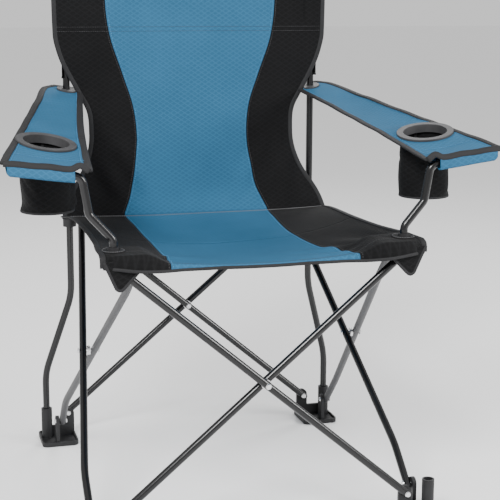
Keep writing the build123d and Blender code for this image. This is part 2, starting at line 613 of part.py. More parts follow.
def seat_half(near_y, far_y, near_x, far_x):
    """Half of the seat cloth: flat over the hubs, sagging between them, trimmed to its plan."""
    low_y, high_y = sorted((near_y, far_y))
    bottom = SEAT_CORNER_Z
    with BuildPart() as half:
        with BuildSketch(Plane(origin=(0, low_y, 0), x_dir=(1, 0, 0), z_dir=(0, -1, 0))):
            with BuildLine():
                Line((-SEAT_FRONT_X, bottom), (-SEAT_FLAT_X, bottom))
                ThreePointArc((-SEAT_FLAT_X, bottom), (0, bottom - SEAT_SAG), (SEAT_FLAT_X, bottom))
                Polyline(
                    (SEAT_FLAT_X, bottom),
                    (SEAT_FRONT_X, bottom),
                    (SEAT_FRONT_X, bottom + CLOTH_T),
                    (SEAT_FLAT_X, bottom + CLOTH_T),
                )
                ThreePointArc(
                    (SEAT_FLAT_X, bottom + CLOTH_T),
                    (0, bottom + CLOTH_T - SEAT_SAG),
                    (-SEAT_FLAT_X, bottom + CLOTH_T),
                )
                Polyline(
                    (-SEAT_FLAT_X, bottom + CLOTH_T),
                    (-SEAT_FRONT_X, bottom + CLOTH_T),
                    (-SEAT_FRONT_X, bottom),
                )
            make_face()
        extrude(amount=-(high_y - low_y))
        with BuildSketch(Plane.XY.offset(bottom - SEAT_SAG - 10)):
            with BuildLine():
                Polyline((-near_x, near_y), (near_x, near_y), (far_x, far_y), (-far_x, far_y), close=True)
            make_face()
        extrude(amount=SEAT_SAG + 40, mode=Mode.INTERSECT)
        if near_y < far_y:
            with BuildSketch(Plane.XY.offset(bottom - 10)):
                with Locations((-ARM_SOCKET_X, ARM_SOCKET_Y), (ARM_SOCKET_X, ARM_SOCKET_Y)):
                    Circle(ARM_BOSS_R + 0.6)
            extrude(amount=40, mode=Mode.SUBTRACT)
    return half.part


SEAT_MID_X = (SEAT_FRONT_X + SEAT_REAR_X) / 2
write(seat_half(SEAT_FRONT_Y, SEAT_SPLIT_Y - 0.5, SEAT_FRONT_X, SEAT_MID_X), "seat_front")
write(seat_half(SEAT_REAR_Y, SEAT_SPLIT_Y + 0.5, SEAT_REAR_X, SEAT_MID_X), "seat_rear")

with BuildPart() as back_cloth:
    panel_x = POST_X - SLEEVE_BORE_R - 1
    with BuildSketch(Plane(origin=(0, POST_Y, 0), x_dir=(1, 0, 0), z_dir=(0, -1, 0))):
        with BuildLine():
            Polyline(
                (-BACK_WAIST_X, BACK_KNEE_Z),
                (BACK_WAIST_X, BACK_KNEE_Z),
                (BACK_WAIST_X, BACK_SLEEVE_Z - KNEE_STEP),
                (panel_x, BACK_SLEEVE_Z),
                (panel_x, BACK_TOP_Z),
                (-panel_x, BACK_TOP_Z),
                (-panel_x, BACK_SLEEVE_Z),
                (-BACK_WAIST_X, BACK_SLEEVE_Z - KNEE_STEP),
                close=True,
            )
        make_face()
    extrude(amount=CLOTH_T / 2, both=True)
    with BuildSketch(Plane.YZ):
        with BuildLine():
            Polyline(
                (POST_Y - CLOTH_T / 2, BACK_KNEE_Z),
                (POST_Y + CLOTH_T / 2, BACK_KNEE_Z),
                (SEAT_REAR_Y + 4, SEAT_CORNER_Z + BACK_SEAM_LIFT),
                (SEAT_REAR_Y + 1, SEAT_CORNER_Z + BACK_SEAM_LIFT),
                close=True,
            )
        make_face()
    extrude(amount=BACK_WAIST_X, both=True)
    with BuildSketch(Plane.XY.offset(BACK_SLEEVE_Z)):
        with Locations((-POST_X, POST_Y), (POST_X, POST_Y)):
            Circle(SLEEVE_R)
    extrude(amount=BACK_TOP_Z - BACK_SLEEVE_Z)
    with BuildSketch(Plane.XY.offset(BACK_SLEEVE_Z)):
        with Locations((-POST_X, POST_Y), (POST_X, POST_Y)):
            Circle(SLEEVE_BORE_R)
    extrude(amount=BACK_TOP_Z - BACK_SLEEVE_Z, mode=Mode.SUBTRACT)
write(back_cloth.part, "back_cloth")

# ---- corner pockets -------------------------------------------------------------------------
POCKET_Y = -(PLANE_Y + LAP + TUBE_R + TUBE_GAP + HEAD_T + 0.5)
for side in (LEFT, RIGHT):
    with BuildPart() as pocket:
        with BuildSketch(Plane(origin=(0, POCKET_Y, 0), x_dir=(1, 0, 0), z_dir=(0, -1, 0))):
            with BuildLine():
                Polyline(
                    (side * (HALF_SPAN + POCKET_TOP[0]), SEAT_CORNER_Z),
                    (side * (HALF_SPAN + POCKET_TOP[1]), SEAT_CORNER_Z),
                    (side * (HALF_SPAN + POCKET_TIP[1]), SEAT_CORNER_Z - POCKET_DROP[1]),
                    (side * (HALF_SPAN + POCKET_TIP[0]), SEAT_CORNER_Z - POCKET_DROP[0]),
                    close=True,
                )
            make_face()
        extrude(amount=CLOTH_T / 2)
    write(pocket.part, f"{SIDE_NAME[side]}_corner_pocket")
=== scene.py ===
import json
from math import atan2, cos, exp, pi, radians, sin, sqrt

import bpy
from mathutils import Matrix, Vector, noise


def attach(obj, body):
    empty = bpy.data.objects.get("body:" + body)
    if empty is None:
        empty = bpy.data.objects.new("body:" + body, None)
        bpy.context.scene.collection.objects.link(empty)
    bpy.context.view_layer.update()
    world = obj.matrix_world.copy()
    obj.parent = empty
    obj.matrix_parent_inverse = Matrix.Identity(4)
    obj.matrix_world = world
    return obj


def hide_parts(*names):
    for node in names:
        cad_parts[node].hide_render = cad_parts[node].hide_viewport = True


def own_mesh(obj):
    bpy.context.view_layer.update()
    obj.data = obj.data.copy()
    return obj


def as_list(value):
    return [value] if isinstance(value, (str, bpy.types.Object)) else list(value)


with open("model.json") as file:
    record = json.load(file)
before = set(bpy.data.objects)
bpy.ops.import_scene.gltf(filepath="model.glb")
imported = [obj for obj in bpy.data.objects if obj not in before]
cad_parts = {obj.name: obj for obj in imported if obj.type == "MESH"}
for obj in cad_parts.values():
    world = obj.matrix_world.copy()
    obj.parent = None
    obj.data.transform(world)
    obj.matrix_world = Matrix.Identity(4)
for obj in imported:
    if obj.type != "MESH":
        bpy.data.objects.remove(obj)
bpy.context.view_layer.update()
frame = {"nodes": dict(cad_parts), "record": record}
nodes = frame["nodes"]

# ---- sizes, in metres ----------------------------------------------------------------
SIDES = {"left": -1, "right": 1}
POST_X = 0.239
POST_Y = 0.2365
POST_HOLE = 0.0095  # armrest cells this near to the post are left out
HUB_TOP = 0.4760  # top of a front hub
ARM_TUBE = (0.240, -0.262)  # where the right arm tube stands in its front hub
CLOTH = 0.0013  # thickness of the sling
STITCH_LIFT = 0.0009  # of the sling's stitches over the middle of its thickness

# ---- linear colours and weave --------------------------------------------------------
BLUE = (0.027, 0.108, 0.2)
BLACK = (0.0065, 0.0065, 0.007)
BINDING = (0.014, 0.014, 0.015)
WEAVE_PITCH = 0.0011
DIAMOND_ANGLE = radians(57)
WAVE_TURN = 20  # radians a wave texture turns over one unit at scale 1


# ---- materials -----------------------------------------------------------------------
def new_material(name):
    mat = bpy.data.materials.new(name)
    mat.use_nodes = True
    tree = mat.node_tree
    shader = tree.nodes["Principled BSDF"]
    return mat, tree, shader


def add_node(tree, kind, **props):
    node = tree.nodes.new(kind)
    for key, value in props.items():
        setattr(node, key, value)
    return node


def math_node(tree, operation, a, b, clamp=False):
    """The result of an operation on two values, each a number or another node's output."""
    node = add_node(tree, "ShaderNodeMath", operation=operation, use_clamp=clamp)
    for i, value in enumerate((a, b)):
        if isinstance(value, (int, float)):
            node.inputs[i].default_value = value
        else:
            tree.links.new(value, node.inputs[i])
    return node.outputs[0]


def weighted_sum(tree, terms, clamp=False):
    """The sum of (value, weight) terms, kept between 0 and 1 if clamp is set."""
    total = math_node(tree, "MULTIPLY", *terms[0])
    for i, (value, weight) in enumerate(terms[1:], 2):
        term = math_node(tree, "MULTIPLY", value, weight)
        total = math_node(tree, "ADD", total, term, clamp and i == len(terms))
    return total


def cloth_coords(tree):
    return add_node(tree, "ShaderNodeUVMap", uv_map="cloth").outputs["UV"]


def object_coords(tree):
    return add_node(tree, "ShaderNodeTexCoord").outputs["Object"]


def noise_of(tree, coords, scale, detail=3.0, rough=0.55):
    node = add_node(tree, "ShaderNodeTexNoise")
    node.inputs["Scale"].default_value = scale
    node.inputs["Detail"].default_value = detail
    node.inputs["Roughness"].default_value = rough
    tree.links.new(coords, node.inputs["Vector"])
    return node.outputs["Fac"]


def mapped(tree, coords, rotation=0.0, scale=(1, 1, 1)):
    node = add_node(tree, "ShaderNodeMapping")
    node.inputs["Rotation"].default_value = (0, 0, rotation)
    node.inputs["Scale"].default_value = scale
    tree.links.new(coords, node.inputs["Vector"])
    return node.outputs["Vector"]


def bands(tree, coords, period, direction):
    """A sine wave of the given period in metres, from 0 to 1."""
    node = add_node(tree, "ShaderNodeTexWave", wave_type="BANDS", wave_profile="SIN")
    node.bands_direction = direction
    node.inputs["Scale"].default_value = 2 * pi / WAVE_TURN / period
    node.inputs["Distortion"].default_value = 0.0
    tree.links.new(coords, node.inputs["Vector"])
    return node.outputs["Fac"]


def tinted(tree, shader, colour, factor, dark, light):
    """Base colour that runs from dark to light times the given colour by factor."""
    ramp = add_node(tree, "ShaderNodeValToRGB")
    ramp.color_ramp.elements[0].position = 0.25
    ramp.color_ramp.elements[1].position = 0.75
    ramp.color_ramp.elements[0].color = (*[c * dark for c in colour], 1)
    ramp.color_ramp.elements[1].color = (*[min(1, c * light) for c in colour], 1)
    tree.links.new(factor, ramp.inputs["Fac"])
    tree.links.new(ramp.outputs["Color"], shader.inputs["Base Color"])


def bump_of(tree, shader, height, strength, distance):
    bump = add_node(tree, "ShaderNodeBump")
    bump.inputs["Strength"].default_value = strength
    bump.inputs["Distance"].default_value = distance
    tree.links.new(height, bump.inputs["Height"])
    tree.links.new(bump.outputs["Normal"], shader.inputs["Normal"])


def roughness_of(tree, shader, factor, low, high):
    node = add_node(tree, "ShaderNodeMapRange")
    node.inputs["To Min"].default_value = low
    node.inputs["To Max"].default_value = high
    tree.links.new(factor, node.inputs["Value"])
    tree.links.new(node.outputs["Result"], shader.inputs["Roughness"])


def cloth_material(name, colour, diamond, spread, sheen):
    """Coated polyester: a fine plain weave under an embossed diamond figure, in cloth coordinates."""
    mat, tree, shader = new_material(name)
    uv = cloth_coords(tree)
    world = object_coords(tree)
    warp = bands(tree, mapped(tree, uv), WEAVE_PITCH, "X")
    weft = bands(tree, mapped(tree, uv), WEAVE_PITCH, "Y")
    weave = math_node(tree, "MULTIPLY", warp, weft)
    lines = [
        math_node(tree, "POWER", bands(tree, mapped(tree, uv, turn), diamond, "X"), 6.0)
        for turn in (DIAMOND_ANGLE, -DIAMOND_ANGLE)
    ]
    figure = math_node(tree, "MAXIMUM", *lines)
    cloud = noise_of(tree, world, 9.0, 4.0)
    grain = noise_of(tree, world, 260.0, 2.0)
    mixed = weighted_sum(tree, [(cloud, 0.45), (grain, 0.15), (figure, 0.26), (weave, 0.14)], True)
    tinted(tree, shader, colour, mixed, 1 - spread, 1 + spread)
    roughness_of(tree, shader, mixed, 0.78, 0.95)
    creases = noise_of(tree, world, 38.0, 3.0)
    height = weighted_sum(tree, [(figure, 0.6), (weave, 0.35), (creases, 1.6)])
    bump_of(tree, shader, height, 0.55, 0.0009)
    shader.inputs["Sheen Weight"].default_value = sheen
    shader.inputs["Sheen Roughness"].default_value = 0.45
    shader.inputs["Specular IOR Level"].default_value = 0.12
    return mat


def tape_material(name, colour):
    """Ribbed binding tape."""
    mat, tree, shader = new_material(name)
    uv = cloth_coords(tree)
    world = object_coords(tree)
    rib = bands(tree, mapped(tree, uv), 0.0016, "Y")
    cloud = noise_of(tree, world, 30.0)
    mixed = weighted_sum(tree, [(rib, 0.4), (cloud, 0.6)], True)
    tinted(tree, shader, colour, mixed, 0.7, 1.45)
    roughness_of(tree, shader, mixed, 0.6, 0.85)
    bump_of(tree, shader, mixed, 0.6, 0.0006)
    shader.inputs["Specular IOR Level"].default_value = 0.25
    return mat


def steel_material(name, colour, rough_low, rough_high, metallic, coat):
    """Powder-coated or plated steel: fine orange peel, with scuffs that change its tone and gloss."""
    mat, tree, shader = new_material(name)
    world = object_coords(tree)
    peel = noise_of(tree, world, 900.0, 2.0)
    cloud = noise_of(tree, world, 14.0, 5.0, 0.65)
    scuff = noise_of(tree, mapped(tree, world, 0.0, (1, 1, 0.15)), 220.0, 4.0, 0.7)
    mixed = weighted_sum(tree, [(cloud, 0.6), (scuff, 0.4)])
    tinted(tree, shader, colour, mixed, 0.75, 1.35)
    roughness_of(tree, shader, mixed, rough_low, rough_high)
    bump_of(tree, shader, peel, 0.12, 0.0003)
    shader.inputs["Metallic"].default_value = metallic
    shader.inputs["Specular IOR Level"].default_value = 0.38
    shader.inputs["Coat Weight"].default_value = coat
    shader.inputs["Coat Roughness"].default_value = 0.22
    return mat


def plastic_material(name, colour, low, high):
    """Moulded plastic with a spark-eroded grain and slightly paler worn patches."""
    mat, tree, shader = new_material(name)
    world = object_coords(tree)
    grain = noise_of(tree, world, 1400.0, 2.0)
    cloud = noise_of(tree, world, 26.0, 5.0, 0.6)
    tinted(tree, shader, colour, cloud, 0.75, 1.5)
    roughness_of(tree, shader, cloud, low, high)
    bump_of(tree, shader, grain, 0.3, 0.0003)
    shader.inputs["Specular IOR Level"].default_value = 0.3
    return mat


blue_cloth = cloth_material("blue_cloth", BLUE, 0.0075, 0.2, 0.0)
black_cloth = cloth_material("black_cloth", BLACK, 0.0085, 0.5, 0.03)
tape = tape_material("binding_tape", BINDING)
thread_black = tape_material("black_thread", (0.05, 0.05, 0.052))
thread_blue = tape_material("blue_thread", (0.055, 0.2, 0.37))
thread_grey = tape_material("grey_thread", (0.16, 0.16, 0.165))
black_steel = steel_material("black_powder_coat", (0.0045, 0.0045, 0.005), 0.14, 0.26, 0.0, 0.15)
grey_steel = steel_material("grey_powder_coat", (0.07, 0.07, 0.073), 0.42, 0.6, 0.0, 0.05)
zinc = steel_material("zinc_plate", (0.72, 0.72, 0.73), 0.22, 0.4, 1.0, 0.0)
black_plastic = plastic_material("black_plastic", (0.014, 0.014, 0.015), 0.42, 0.6)
grey_plastic = plastic_material("dark_grey_plastic", (0.04, 0.04, 0.042), 0.5, 0.66)

FINISH = {
    "frame_steel": black_steel,
    "side_tube_steel": grey_steel,
    "rivet_steel": zinc,
    "black_plastic": black_plastic,
    "black_cloth": black_cloth,
    "blue_cloth": blue_cloth,
}
for sub in frame["record"]["subparts"]:
    node = nodes[sub["node"]]
    finish = FINISH[sub["material_slot"]]
    if sub["node"].endswith(("_cup_ring", "_post_washer")):
        finish = grey_plastic
    node.data.materials.clear()
    node.data.materials.append(finish)


# ---- mesh helpers --------------------------------------------------------------------
def smooth_step(t):
    t = max(0.0, min(1.0, t))
    return t * t * (3 - 2 * t)


def curve_at(table, t):
    """Value at t of a smooth curve through a table of (t, value) pairs, held level past its ends."""
    table = sorted(table)
    if t <= table[0][0]:
        return table[0][1]
    if t >= table[-1][0]:
        return table[-1][1]
    i = next(k for k in range(len(table) - 1) if t <= table[k + 1][0])
    (a, fa), (b, fb) = table[i], table[i + 1]
    before = table[i - 1] if i else (2 * a - b, 2 * fa - fb)
    after = table[i + 2] if i + 2 < len(table) else (2 * b - a, 2 * fb - fa)
    step = b - a
    slope_a = (fb - before[1]) / (b - before[0]) * step
    slope_b = (after[1] - fa) / (after[0] - a) * step
    u = (t - a) / step
    return (
        (2 * u**3 - 3 * u**2 + 1) * fa
        + (u**3 - 2 * u**2 + u) * slope_a
        + (3 * u**2 - 2 * u**3) * fb
        + (u**3 - u**2) * slope_b
    )


def add_object(name, data):
    obj = bpy.data.objects.new(name, data)
    bpy.context.scene.collection.objects.link(obj)
    return obj


def mesh_object(name, verts, faces, materials, face_material=None, uvs=None):
    """A smooth mesh whose cloth coordinates are uvs, or the x and y of its vertices."""
    mesh = bpy.data.meshes.new(name)
    mesh.from_pydata([tuple(v) for v in verts], [], faces)
    for material in materials:
        mesh.materials.append(material)
    layer = mesh.uv_layers.new(name="cloth")
    for poly in mesh.polygons:
        poly.use_smooth = True
        if face_material:
            poly.material_index = face_material[poly.index]
        for loop in poly.loop_indices:
            vertex = mesh.loops[loop].vertex_index
            layer.data[loop].uv = uvs[vertex] if uvs else (verts[vertex][0], verts[vertex][1])
    return add_object(name, mesh)


def solidify(obj, thickness, offset):
    """Give a surface its thickness: offset 0 on both sides of it, -1 behind it."""
    mod = obj.modifiers.new("thickness", "SOLIDIFY")
    mod.thickness = thickness
    mod.offset = offset
    mod.use_even_offset = True
    depsgraph = bpy.context.evaluated_depsgraph_get()
    mesh = bpy.data.meshes.new_from_object(obj.evaluated_get(depsgraph))
    obj.modifiers.clear()
    obj.data = mesh


def one_cloth(column, row):
    return 0


def grid(name, columns, rows, place, materials, material_of=one_cloth, thickness=CLOTH):
    """A cloth place(column, row) over lists of both, with its cloth coordinates in metres."""
    verts, uvs = [], []
    wide = len(columns)
    middle = wide // 2
    for j, row in enumerate(rows):
        line = [place(column, row) for column in columns]
        run = [0.0]
        for a, b in zip(line, line[1:]):
            run.append(run[-1] + (b - a).length)
        above = (j - 1) * wide + middle
        down = uvs[above][1] - (line[middle] - verts[above]).length if j else 0.0
        verts += line
        uvs += [(r - run[middle], down) for r in run]
    faces, which = [], []
    for j in range(len(rows) - 1):
        for i in range(wide - 1):
            a = j * wide + i
            faces.append((a, a + 1, a + wide + 1, a + wide))
            which.append(material_of((columns[i] + columns[i + 1]) / 2, (rows[j] + rows[j + 1]) / 2))
    obj = mesh_object(name, verts, faces, materials, which, uvs)
    solidify(obj, thickness, 0.0)
    return obj


def frames_along(points, up):
    """Tangent, side and normal at each point of a polyline, the side kept square to up where it can be."""
    out = []
    for i in range(len(points)):
        ahead = points[min(i + 1, len(points) - 1)]
        behind = points[max(i - 1, 0)]
        tangent = (ahead - behind).normalized()
        side = tangent.cross(Vector(up))
        if side.length < 1e-6:
            side = tangent.orthogonal()
        side.normalize()
        out.append((tangent, side, side.cross(tangent)))
    return out


def band(name, points, up, width, thickness, material, sides=10, ends=True):
    """A flat rounded strip swept along points, its width to the side and its thickness along the normal."""
    verts, uvs, faces = [], [], []
    run = 0.0
    for i, (p, (_, side, normal)) in enumerate(zip(points, frames_along(points, up))):
        if i:
            run += (p - points[i - 1]).length
        for k in range(sides):
            angle = 2 * pi * k / sides
            flat = cos(angle)
            bulge = abs(flat) ** 0.6 * (1 if flat >= 0 else -1)
            verts.append(p + side * (bulge * width / 2) + normal * (sin(angle) * thickness / 2))
            uvs.append((k / sides * (2 * width), run))
    count = len(points)
    for i in range(count - 1):
        for k in range(sides):
            a, b = i * sides + k, i * sides + (k + 1) % sides
            faces.append((a, b, b + sides, a + sides))
    if ends:
        faces.append(tuple(reversed(range(sides))))
        faces.append(tuple((count - 1) * sides + k for k in range(sides)))
    return mesh_object(name, verts, faces, [material], None, uvs)


def resample(points, step):
    """Points a fixed step apart along a polyline."""
    out = [points[0].copy()]
    need = step
    for a, b in zip(points, points[1:]):
        length = (b - a).length
        at = 0.0
        while length - at >= need:
            at += need
            out.append(a.lerp(b, at / length))
            need = step
        need -= length - at
    return out


THREAD_SIDES = 5
THREAD_SHAPE = ((-0.5, 0.45), (-0.3, 1.0), (0.3, 1.0), (0.5, 0.45))  # shares of a stitch's length and radius


def stitches(name, points, up, material, pitch=0.0042, length=0.003, radius=0.00038, lift=0.0004):
    """A row of thread stitches lying on the cloth along points."""
    verts, faces = [], []
    dense = resample(points, pitch)
    normals = frames_along(dense, up)
    for p, (tangent, side, normal) in zip(dense[:-1], normals[:-1]):
        base = len(verts)
        for along, scale in THREAD_SHAPE:
            centre = p + tangent * (along * length) + normal * lift
            for k in range(THREAD_SIDES):
                angle = 2 * pi * k / THREAD_SIDES
                verts.append(centre + (side * cos(angle) + normal * sin(angle)) * (radius * scale))
        end = base + (len(THREAD_SHAPE) - 1) * THREAD_SIDES
        for ring in range(base, end, THREAD_SIDES):
            for k in range(THREAD_SIDES):
                a, b = ring + k, ring + (k + 1) % THREAD_SIDES
                faces.append((a, b, b + THREAD_SIDES, a + THREAD_SIDES))
        faces.append(tuple(base + k for k in reversed(range(THREAD_SIDES))))
        faces.append(tuple(end + k for k in range(THREAD_SIDES)))
    return mesh_object(name, verts, faces, [material])


def span(a, b, count):
    """Evenly spaced values from a to b."""
    return [a + (b - a) * i / (count - 1) for i in range(count)]


# ---- the sling: back and seat --------------------------------------------------------
# Tables give half widths, y or z of the sling against z on the back and against y on the seat.
SEAM_Z = 0.4555
BACK_TOP = 0.980
SEAM_Y = 0.199
FRONT_Y = -0.280
WAIST_Z = 0.62
BACK_EDGE_X = 0.225  # beyond this the back keeps its edge's y
BACK_HALF = [
    (0.4555, 0.2550), (0.480, 0.2480), (0.500, 0.2380), (0.522, 0.2230), (0.548, 0.2090), (0.580, 0.1985),
    (0.610, 0.1955), (0.653, 0.1990), (0.690, 0.2180), (0.718, 0.2330), (0.740, 0.2440), (0.765, 0.2530),
    (0.795, 0.2590), (0.980, 0.2600),
]
BACK_BLUE = [
    (0.460, 0.1400), (0.500, 0.1230), (0.545, 0.1140), (0.600, 0.1080), (0.660, 0.1140), (0.720, 0.1330),
    (0.790, 0.1560), (0.850, 0.1640), (0.980, 0.1660),
]
BACK_EDGE_Y = [
    (0.4555, 0.1895), (0.500, 0.2080), (0.550, 0.2180), (0.620, 0.2230), (0.700, 0.2270), (0.980, 0.2275),
]
BACK_MID_Y = [
    (0.4555, 0.1945), (0.500, 0.2160), (0.560, 0.2290), (0.640, 0.2350), (0.740, 0.2390), (0.980, 0.2400),
]
BLUE_SHARE = 0.55  # the cloth is blue for columns up to this, of 1
BACK_UP = (0, -1, 0)
SEAT_UP = (0, -0.2, 1)


def ripple(x, y, z, scale, size):
    """Smooth unevenness of up to about size either way, scale features to the metre."""
    return noise.noise(Vector((x, y, z)) * scale) * size


def across(column, blue, half):
    """The x of a column: in the blue cloth up to BLUE_SHARE, in the black side panels beyond it."""
    share = abs(column)
    if share <= BLUE_SHARE:
        x = blue * share / BLUE_SHARE
    else:
        x = blue + (half - blue) * (share - BLUE_SHARE) / (1 - BLUE_SHARE)
    return x if column >= 0 else -x


def back_point(column, z):
    half = curve_at(BACK_HALF, z)
    x = across(column, curve_at(BACK_BLUE, z), half)
    edge = curve_at(BACK_EDGE_Y, z)
    middle = curve_at(BACK_MID_Y, z)
    share = min(1.0, abs(x) / BACK_EDGE_X)
    y = middle + (edge - middle) * share**2
    fade = smooth_step((1 - abs(column)) / 0.12) * smooth_step((z - SEAM_Z) / 0.03)
    y += ripple(x, 0.3, z, 7.0, 0.0045) * fade
    y += ripple(x * 1.4, 1.7, z * 0.5, 22.0, 0.0012) * fade
    # slack drags from the waist towards the seat's rear corners
    drag = smooth_step((WAIST_Z - z) / 0.1) * smooth_step((z - SEAM_Z) / 0.05)
    wave = sin((abs(x) * 0.9 + (WAIST_Z - z) * 0.55) * 120)
    y += 0.0032 * wave * drag * smooth_step((abs(x) - 0.06) / 0.08) * fade
    return Vector((x, y, z))


SEAT_SIDE = [
    (0.199, 0.2560), (0.150, 0.2500), (0.080, 0.2460), (-0.060, 0.2470), (-0.180, 0.2540), (-0.235, 0.2600),
    (-0.280, 0.2620),
]
SEAT_BLUE = [
    (0.192, 0.1400), (0.110, 0.1350), (0.000, 0.1330), (-0.120, 0.1370), (-0.220, 0.1460), (-0.280, 0.1550),
]
SEAT_EDGE_Z = [
    (0.199, 0.4590), (0.120, 0.4680), (0.000, 0.4710), (-0.120, 0.4740), (-0.200, 0.4780), (-0.280, 0.4800),
]
SEAT_MID_Z = [
    (0.199, 0.4580), (0.150, 0.4490), (0.080, 0.4400), (-0.020, 0.4350), (-0.120, 0.4360), (-0.220, 0.4450),
    (-0.280, 0.4520),
]
ROLL_R = 0.010  # radius of the front edge's roll into its hem, at the corners
SHARP_R = 0.0035  # and in the middle, where the edge is pulled tight
HEM_ROWS = 0.052  # row values past the front edge that stand for the hem
# height of the hem's lower edge against the distance from the middle
HEM_Z = [(0.0, 0.4500), (0.150, 0.4500), (0.200, 0.4540), (0.235, 0.4590), (0.262, 0.4640)]


def seat_surface(column, y):
    half = curve_at(SEAT_SIDE, y)
    x = across(column, curve_at(SEAT_BLUE, y), half)
    share = min(1.0, abs(x) / half)
    edge, middle = curve_at(SEAT_EDGE_Z, y), curve_at(SEAT_MID_Z, y)
    z = middle + (edge - middle) * share**2.4
    fade = smooth_step((1 - abs(column)) / 0.1) * smooth_step((SEAM_Y - y) / 0.03)
    fade *= smooth_step((y - FRONT_Y) / 0.05)
    z += ripple(x, y, 0.4, 8.0, 0.004) * fade
    # the cloth lies on top of the front hubs
    over_hub = smooth_step((abs(x) - 0.150) / 0.050) * smooth_step((-0.186 - y) / 0.046)
    fade *= 1 - over_hub
    z += max(0.0, HUB_TOP + 0.0032 - z) * over_hub
    # tension folds run from the arm tubes towards the middle
    dx, dy = abs(x) - ARM_TUBE[0], y - ARM_TUBE[1]
    reach = sqrt(dx * dx + dy * dy)
    angle = atan2(dy, -dx)
    folds = 0.0022 * sin(angle * 13) * smooth_step((reach - 0.03) / 0.05)
    z += folds * smooth_step((0.24 - reach) / 0.15) * fade
    return Vector((x, y, z))


def seat_point(column, y):
    """The seat runs flat to the front, then rolls over and hangs as a hem, further forward at the corners."""
    if y >= FRONT_Y:
        return seat_surface(column, y)
    base = seat_surface(column, FRONT_Y)
    corner = smooth_step((abs(base.x) - 0.125) / 0.09)
    radius = SHARP_R + (ROLL_R - SHARP_R) * corner
    forward = 0.0165 * corner
    quarter_turn = radius * pi / 2
    hang_all = max(0.0, base.z - radius - curve_at(HEM_Z, abs(base.x)))
    run = (FRONT_Y - y) / HEM_ROWS * (forward + quarter_turn + hang_all)
    quarter = min(max(0.0, run - forward), quarter_turn) / radius
    hang = max(0.0, run - forward - quarter_turn)
    wave = ripple(base.x, 2.0, 0.0, 14.0, 0.0015) * smooth_step(run / 0.02)
    tip = smooth_step((abs(base.x) - 0.235) / 0.027)
    y = FRONT_Y - min(run, forward) - radius * sin(quarter) - wave + 0.010 * tip * smooth_step(run / 0.03)
    z = base.z - radius * (1 - cos(quarter)) - hang - 0.003 * tip * smooth_step(run / 0.02)
    return Vector((base.x, y, z))


fine_columns = span(-1, -BLUE_SHARE, 26)[:-1] + span(-BLUE_SHARE, BLUE_SHARE, 61)
fine_columns += span(BLUE_SHARE, 1, 26)[1:]


def two_tone(column, row):
    return 0 if abs(column) < BLUE_SHARE else 1


back_rows = span(BACK_TOP, SEAM_Z, 105)
SEAT_SPLIT_Y = -0.0075  # where the two halves of the seat meet
front_rows = span(SEAT_SPLIT_Y, FRONT_Y, 60) + span(FRONT_Y, FRONT_Y - HEM_ROWS, 22)[1:]
rear_rows = span(SEAM_Y, SEAT_SPLIT_Y, 42)
SHEETS = {  # shape, rows, outward direction, width and thickness of the edge binding
    "back": (back_point, back_rows, BACK_UP, 0.009, 0.0034),
    "seat_front": (seat_point, front_rows, SEAT_UP, 0.010, 0.0036),
    "seat_rear": (seat_point, rear_rows, SEAT_UP, 0.010, 0.0036),
}
back, seat_front, seat_rear = [
    grid(f"{name}_sheet", fine_columns, rows, place, [blue_cloth, black_cloth], two_tone)
    for name, (place, rows, *_) in SHEETS.items()
]
groups = {"back": [back], "seat_front": [seat_front], "seat_rear": [seat_rear]}


def sew(group, name, line, up, thread):
    groups[group].append(stitches(name, line, up, thread, lift=STITCH_LIFT))


for side, s in SIDES.items():
    for name, (place, rows, up, width, thickness) in SHEETS.items():
        edge = [place(s, row) for row in rows]
        groups[name].append(band(f"{name}_{side}_binding", edge, up, width, thickness, tape))
    for share, tag, thread in (
        (BLUE_SHARE + 0.015, "outer", thread_black),
        (BLUE_SHARE - 0.012, "inner", thread_blue),
    ):
        for name, (place, rows, up, *_) in SHEETS.items():
            sew(name, f"{name}_{side}_{tag}_stitch", [place(s * share, row) for row in rows], up, thread)

hem_line = [seat_point(c, front_rows[-1]) for c in fine_columns]
groups["seat_front"].append(band("seat_front_hem", hem_line, (0, -1, 0.1), 0.0055, 0.0034, tape))
hem_stitch = [seat_point(c, FRONT_Y + 0.012) for c in fine_columns]
sew("seat_front", "seat_front_hem_stitch", hem_stitch, (0, -0.5, 1), thread_black)
for y, tag in ((0.1895, "front"), (0.1870, "rear")):
    seam_line = [seat_point(c, y) for c in fine_columns]
    sew("seat_rear", f"seat_{tag}_seam_stitch", seam_line, SEAT_UP, thread_grey)
for height, tag in ((0.800, "lower"), (0.808, "upper")):
    cross_line = [back_point(c, height) for c in fine_columns]
    sew("back", f"back_{tag}_cross_stitch", cross_line, BACK_UP, thread_black)
top_line = [back_point(c, BACK_TOP) for c in fine_columns]
groups["back"].append(band("back_top_binding", top_line, BACK_UP, 0.014, 0.004, tape))


# ---- sleeves round the posts ---------------------------------------------------------
SLEEVE_END_Z = 0.716
SLEEVE_INNER_X = 0.2235
SLEEVE_Y = 0.2285
SLEEVE_BULGE = 0.0195  # how far a sleeve reaches behind its edges


def sleeve(side, s):
    """The cloth that closes behind a post, from the panel's edge round the post and back to it."""
    rows = span(BACK_TOP, SLEEVE_END_Z, 50)
    shares = span(0, 1, 23)

    def place(column, z):
        half = curve_at(BACK_HALF, z)
        outer = max(half - 0.001, POST_X + 0.0085)
        x = outer + (SLEEVE_INNER_X - outer) * column
        bulge = sin(pi * min(1.0, column * 1.02)) ** 0.55
        y = SLEEVE_Y + SLEEVE_BULGE * bulge + ripple(x, 3.0, z, 24.0, 0.0016) * bulge
        return Vector((s * x, y, z))

    piece = grid(f"{side}_post_sleeve", shares, rows, place, [black_cloth])
    mouth = [place(c, rows[-1]) for c in shares]
    hem = band(f"{side}_post_sleeve_hem", mouth, (0, 0, 1), 0.0028, 0.004, tape)
    return [piece, hem]


